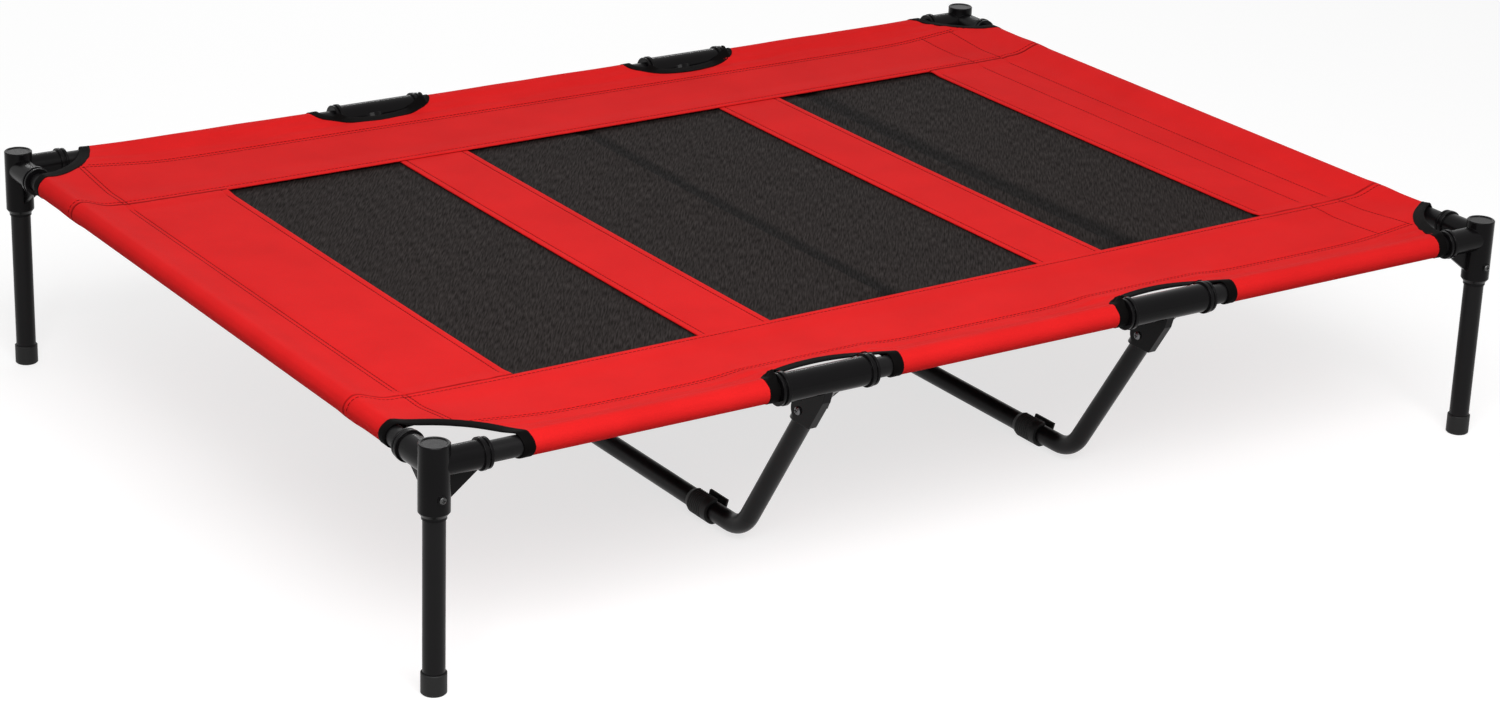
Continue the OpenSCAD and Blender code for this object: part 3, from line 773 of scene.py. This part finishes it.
class Paint:
    """A node material in the making: the shader, and short calls for the nodes that feed it."""

    def __init__(self, name, colour, roughness, **inputs):
        self.material = bpy.data.materials.new(name)
        self.material.use_nodes = True
        self.nodes = self.material.node_tree.nodes
        self.links = self.material.node_tree.links
        self.shader = self.nodes["Principled BSDF"]
        self.set(self.shader, {"Base_Color": (*colour, 1), "Roughness": roughness, **inputs})

    def set(self, node, values):
        """Sets or links inputs of a node. In their names an underscore stands for a space."""
        for key, value in values.items():
            socket = node.inputs[key.replace("_", " ") if isinstance(key, str) else key]
            if isinstance(value, bpy.types.NodeSocket):
                self.links.new(value, socket)
            else:
                socket.default_value = value

    def add(self, kind, output=0, settings=None, **values):
        """An output of a new node."""
        node = self.nodes.new("ShaderNode" + kind)
        for key, value in (settings or {}).items():
            setattr(node, key, value)
        self.set(node, values)
        return node.outputs[output]

    def stretch(self, value, start, stop, low, high):
        """The value's range from start to stop, stretched to the range from low to high."""
        return self.add("MapRange", Value=value, From_Min=start, From_Max=stop, To_Min=low, To_Max=high)

    def math(self, operation, first, second=0.0):
        node = self.nodes.new("ShaderNodeMath")
        node.operation = operation
        self.set(node, {0: first, 1: second})
        return node.outputs[0]

    def place(self):
        return self.add("TexCoord", "Object")

    def noise(self, scale, detail=2.0, vector=None):
        return self.add("TexNoise", "Fac", Vector=vector or self.place(), Scale=scale, Detail=detail)

    def ramp(self, factor, low, high):
        """The middle range of a noise, stretched to the range from low to high."""
        return self.stretch(factor, *NOISE_RANGE, low, high)

    def mix(self, factor, first, second):
        node = self.nodes.new("ShaderNodeMix")
        node.data_type = "RGBA"
        self.set(node, {0: factor, 6: (*first, 1), 7: (*second, 1)})
        return node.outputs[2]

    def painted_hollow_shade(self, distance, dark):
        """Painted shade: one in the open, and down to dark in grooves and along seams, from ambient
        occlusion.
        """
        light = self.add("AmbientOcclusion", "AO", {"samples": 6}, Distance=distance)
        return self.stretch(light, *OPEN_RANGE, dark, 1.0)

    def cloth_place(self):
        """The two coordinates on the flat cloth."""
        split = self.nodes.new("ShaderNodeSeparateXYZ")
        self.links.new(self.add("UVMap", "UV", {"uv_map": "cloth"}), split.inputs[0])
        return split.outputs[0], split.outputs[1]

    def wave(self, run, pitch):
        return self.math("SINE", self.math("MULTIPLY", run, 2 * math.pi / pitch))

    def bump(self, height, distance, strength=1.0, normal=None):
        values = {"Height": height, "Distance": distance, "Strength": strength}
        if normal is not None:
            values["Normal"] = normal
        return self.add("Bump", 0, **values)

    def feed(self, **sockets):
        """The finished material, with these fed to its shader."""
        self.set(self.shader, sockets)
        return self.material


def red_cloth():
    """Coated plain weave: fine crossed threads, a little uneven in dye and sheen, with painted shade in
    grooves and along the bands' seams.
    """
    paint = Paint("red_cloth", (0.70, 0.010, 0.010), 0.62, Specular_IOR_Level=0.02)
    a, b = paint.cloth_place()
    threads = paint.math("MULTIPLY", paint.wave(a, WEAVE_PITCH), paint.wave(b, WEAVE_PITCH))
    weave = paint.math("ABSOLUTE", threads)
    slub = paint.noise(900, 2)
    dye = paint.ramp(paint.noise(14, 4), 0, 1)
    colour = paint.mix(dye, (0.70, 0.0150, 0.0155), (0.77, 0.0172, 0.0177))
    # Painted shade: the red darkens in grooves, by hems and round stitches, by how open it is to light
    level = paint.math("MULTIPLY", paint.ramp(slub, 0.96, 1.04), paint.painted_hollow_shade(0.004, 0.3))
    # Painted shade along the bands' seams beside the end panels, on a line that wanders a little
    pucker = paint.ramp(paint.noise(60, 2), WINDOW_Y - SEAM_PUCKER, WINDOW_Y + SEAM_PUCKER)
    from_seam = paint.math("ABSOLUTE", paint.math("SUBTRACT", paint.math("ABSOLUTE", b), pucker))
    seam = paint.stretch(from_seam, *SEAM_LINE, SEAM_SHADE, 1.0)
    by_window = paint.math("LESS_THAN", paint.math("ABSOLUTE", a), WINDOW_X)
    level = paint.math("MULTIPLY", level, paint.math("MAXIMUM", seam, by_window))
    shade = paint.add("HueSaturation", 0, Color=colour, Value=level)
    fine = paint.bump(weave, 0.00010, 0.6)
    return paint.feed(Base_Color=shade, Roughness=paint.ramp(slub, 0.56, 0.68),
                      Normal=paint.bump(slub, 0.00015, 0.35, fine))


def mesh_cloth():
    """Open coated weave: slanting threads with dark gaps, and pressed creases with painted shade on one side.
    """
    paint = Paint("mesh_cloth", (0.026, 0.0215, 0.0205), 0.6, Specular_IOR_Level=0.015)
    a, b = paint.cloth_place()
    across = paint.math("SUBTRACT", paint.math("MULTIPLY", a, SLANT_COS),
                        paint.math("MULTIPLY", b, SLANT_SIN))
    along = paint.math("ADD", paint.math("MULTIPLY", a, SLANT_SIN),
                       paint.math("MULTIPLY", b, SLANT_COS))
    wide = paint.math("DIVIDE", across, MESH_THREAD_W)
    long = paint.math("DIVIDE", along, MESH_THREAD_L)
    threads = paint.noise(1.0, 1.0, paint.add("CombineXYZ", X=wide, Y=long))
    level = paint.ramp(paint.noise(40, 3), 0.9, 1.1)
    # Painted shade on the lee side of each crease, to the right of its crest
    for place, _, _, right in MESH_FOLDS:
        fade = paint.stretch(a, place + right, place + CREASE_FADE * right, CREASE_SHADE, 1.0)
        left = paint.math("LESS_THAN", a, place)
        level = paint.math("MULTIPLY", level, paint.math("MAXIMUM", fade, left))
    colour = paint.mix(paint.ramp(threads, 0, 1), (0.0072, 0.0055, 0.0051), (0.0265, 0.021, 0.0199))
    shade = paint.add("HueSaturation", 0, Color=colour, Value=level)
    return paint.feed(Base_Color=shade, Roughness=paint.ramp(threads, 0.7, 0.5),
                      Normal=paint.bump(threads, 0.0004, 0.6))


def tape_cloth():
    """Woven binding tape with a fine grain."""
    paint = Paint("tape_cloth", (0.004, 0.0036, 0.0036), 0.6, Specular_IOR_Level=0.015)
    grain = paint.noise(1400, 1)
    return paint.feed(Roughness=paint.ramp(grain, 0.5, 0.7), Normal=paint.bump(grain, 0.0003, 0.5),
                      Base_Color=paint.mix(grain, (0.003, 0.0027, 0.0027), (0.005, 0.0045, 0.0045)))


def thread(name, dark, light):
    """Sewing thread, a little uneven in dye."""
    paint = Paint(name, dark, 0.55, Specular_IOR_Level=0.02)
    return paint.feed(Base_Color=paint.mix(paint.noise(3000, 1), dark, light))


def moulded_plastic(name, roughness):
    """Moulded connectors: a fine grain and soft edges."""
    paint = Paint(name, (0.004, 0.0036, 0.004), roughness, Specular_IOR_Level=0.08)
    grain = paint.noise(2200, 2)
    patch = paint.noise(25, 3)
    edge = paint.add("Bevel", 0, {"samples": 4}, Radius=0.0006)
    return paint.feed(Roughness=paint.ramp(patch, 0.9 * roughness, 1.1 * roughness),
                      Normal=paint.bump(grain, 0.00005, 0.35, edge),
                      Base_Color=paint.mix(patch, (0.003, 0.0026, 0.003), (0.005, 0.0046, 0.005)))


def powder_coat():
    """Black powder coat on steel tube: a faint orange peel."""
    paint = Paint("powder_coat", (0.005, 0.0046, 0.005), 0.36, Specular_IOR_Level=0.13)
    peel = paint.noise(420, 2)
    return paint.feed(Roughness=paint.ramp(paint.noise(30, 3), 0.32, 0.42),
                      Normal=paint.bump(peel, 0.00006, 0.4),
                      Base_Color=paint.mix(peel, (0.004, 0.0036, 0.004), (0.006, 0.0056, 0.006)))


def foot_rubber():
    """Matt rubber of the foot caps and the bar feet."""
    paint = Paint("foot_rubber", (0.008, 0.008, 0.008), 0.55, Specular_IOR_Level=0.25)
    grain = paint.noise(1500, 3)
    edge = paint.add("Bevel", 0, {"samples": 4}, Radius=0.0005)
    return paint.feed(Roughness=paint.ramp(grain, 0.48, 0.62), Normal=paint.bump(grain, 0.0001, 0.4, edge),
                      Base_Color=paint.mix(grain, (0.006, 0.006, 0.006), (0.010, 0.010, 0.010)))


def plated_steel(name, dark, light):
    """Plated fasteners, a little worn."""
    paint = Paint(name, dark, 0.35, Metallic=1.0)
    wear = paint.noise(600, 3)
    return paint.feed(Roughness=paint.ramp(wear, 0.25, 0.45), Base_Color=paint.mix(wear, dark, light))


# Stage

# The floor's reach, grey and glow, and how strongly the white world lights the cot
FLOOR_REACH = 8
FLOOR_GREY = 0.4
FLOOR_GLOW = 0.71
WORLD_LIGHT = 0.32


def make_camera():
    """The photograph's camera."""
    azimuth, elevation = math.radians(CAMERA_AZIMUTH), math.radians(CAMERA_ELEVATION)
    back = Vector((math.sin(azimuth) * math.cos(elevation), -math.cos(azimuth) * math.cos(elevation),
                   math.sin(elevation)))
    data = bpy.data.cameras.new("camera")
    data.sensor_width = SENSOR_WIDTH
    data.lens = CAMERA_LENS
    camera = bpy.data.objects.new("camera", data)
    bpy.context.scene.collection.objects.link(camera)
    camera.rotation_mode = "QUATERNION"
    camera.location = CAMERA_TARGET + back * CAMERA_DISTANCE
    roll = Quaternion((0, 0, 1), math.radians(CAMERA_ROLL))
    camera.rotation_quaternion = (-back).to_track_quat("-Z", "Y") @ roll
    bpy.context.scene.camera = camera


def soft_box(name, place, aim, width, height, power):
    """A rectangular light."""
    data = bpy.data.lights.new(name, "AREA")
    data.shape = "RECTANGLE"
    data.size = width
    data.size_y = height
    data.energy = power
    light = bpy.data.objects.new(name, data)
    light.location = place
    light.rotation_mode = "QUATERNION"
    light.rotation_quaternion = (Vector(aim) - Vector(place)).to_track_quat("-Z", "Y")
    bpy.context.scene.collection.objects.link(light)


def seen_directly(nodes, links):
    """One where a ray from the camera, or by way of gloss or glass, meets the surface."""
    path = nodes.new("ShaderNodeLightPath")
    total = path.outputs["Is Camera Ray"]
    for name in ("Is Glossy Ray", "Is Transmission Ray"):
        either = nodes.new("ShaderNodeMath")
        either.operation = "MAXIMUM"
        links.new(total, either.inputs[0])
        links.new(path.outputs[name], either.inputs[1])
        total = either.outputs[0]
    return total


def make_floor():
    """Pale floor that stays close to white in the picture and still takes the cot's shadow."""
    mesh = bpy.data.meshes.new("floor")
    corners = [(FLOOR_REACH * x, FLOOR_REACH * y, 0) for x, y in ((-1, -1), (1, -1), (1, 1), (-1, 1))]
    mesh.from_pydata(corners, [], [(0, 1, 2, 3)])
    floor = bpy.data.objects.new("floor", mesh)
    bpy.context.scene.collection.objects.link(floor)
    paint = Paint("floor_white", (FLOOR_GREY, FLOOR_GREY, FLOOR_GREY), 0.9,
                  Specular_IOR_Level=0.0, Emission_Color=(1, 1, 1, 1))
    glow = paint.math("MULTIPLY", seen_directly(paint.nodes, paint.links), FLOOR_GLOW)
    mesh.materials.append(paint.feed(Emission_Strength=glow))


def make_light():
    """White studio that looks white and lights less, an overhead soft box and two weak ones."""
    scene = bpy.context.scene
    scene.view_settings.view_transform = "Standard"
    world = bpy.data.worlds.new("studio")
    scene.world = world
    world.use_nodes = True
    nodes, links = world.node_tree.nodes, world.node_tree.links
    back = nodes["Background"]
    back.inputs["Color"].default_value = (1, 1, 1, 1)
    level = nodes.new("ShaderNodeMapRange")
    level.inputs["To Min"].default_value = WORLD_LIGHT
    level.inputs["To Max"].default_value = 1.0
    links.new(seen_directly(nodes, links), level.inputs["Value"])
    links.new(level.outputs[0], back.inputs["Strength"])
    soft_box("overhead", (-0.9, -1.9, 2.4), (-0.1, -0.2, 0.2), 2.4, 1.8, 80)
    soft_box("rear", (0.8, 2.4, 1.3), (0.2, 0.0, 0.2), 2.6, 0.06, 8)
    soft_box("front_left", (-2.6, -2.4, 1.6), (0, 0, 0.2), 1.6, 1.2, 3)


make_camera()
make_light()
make_floor()

red = red_cloth()
net = mesh_cloth()
tape = tape_cloth()
finishes = {
    "frame_paint": powder_coat(),
    "connector_plastic": moulded_plastic("satin_plastic", 0.22),
    "foot_plastic": foot_rubber(),
    "fastener_steel": plated_steel("plated_steel", (0.11, 0.11, 0.115), (0.19, 0.19, 0.195)),
}
glossy = moulded_plastic("glossy_plastic", 0.13)
special = {f"tee_{side}_{end}": glossy for side in ("front", "rear") for end in ("left", "right")}
dark_steel = plated_steel("dark_steel", (0.05, 0.05, 0.05), (0.10, 0.10, 0.10))
special.update(leg_screws=dark_steel, bar_nuts=dark_steel)
for part in frame["record"]["subparts"]:
    if part["material_slot"] in finishes:
        node = frame["nodes"][part["node"]]
        node.data.materials.clear()
        node.data.materials.append(special.get(part["node"], finishes[part["material_slot"]]))

panels = {
    "front": band(-1, red),
    "rear": band(1, red),
    "left": end_panel(-1, red),
    "right": end_panel(1, red),
    "strip_left": cross_strip(-1, red),
    "strip_right": cross_strip(1, red),
    "mesh_left": mesh_window("mesh_left", -WINDOW_X, -STRIP_OUT, net),
    "mesh_middle": mesh_window("mesh_middle", -STRIP_IN, STRIP_IN, net),
    "mesh_right": mesh_window("mesh_right", STRIP_OUT, WINDOW_X, net),
}

tapes = {-1: [], 1: []}
for side, side_name in ((-1, "front"), (1, "rear")):
    for end, end_name in ((-1, "left"), (1, "right")):
        corner_tape = binding_tape(f"corner_tape_{side_name}_{end_name}", corner_path(end, side), tape)
        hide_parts("corner_tapes")
        tee_tape = binding_tape(f"tee_tape_{side_name}_{end_name}", tee_path(end, side), tape)
        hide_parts("tee_tapes")
        tapes[side] += [corner_tape, tee_tape]

stitches = new_object("cover_stitches", *stitch_mesh(cover_rows()),
                      thread("red_thread", (0.14, 0.003, 0.0035), (0.21, 0.005, 0.0055)), "cover_red")

for name, panel in panels.items():
    tuple(panel["flat_size"])
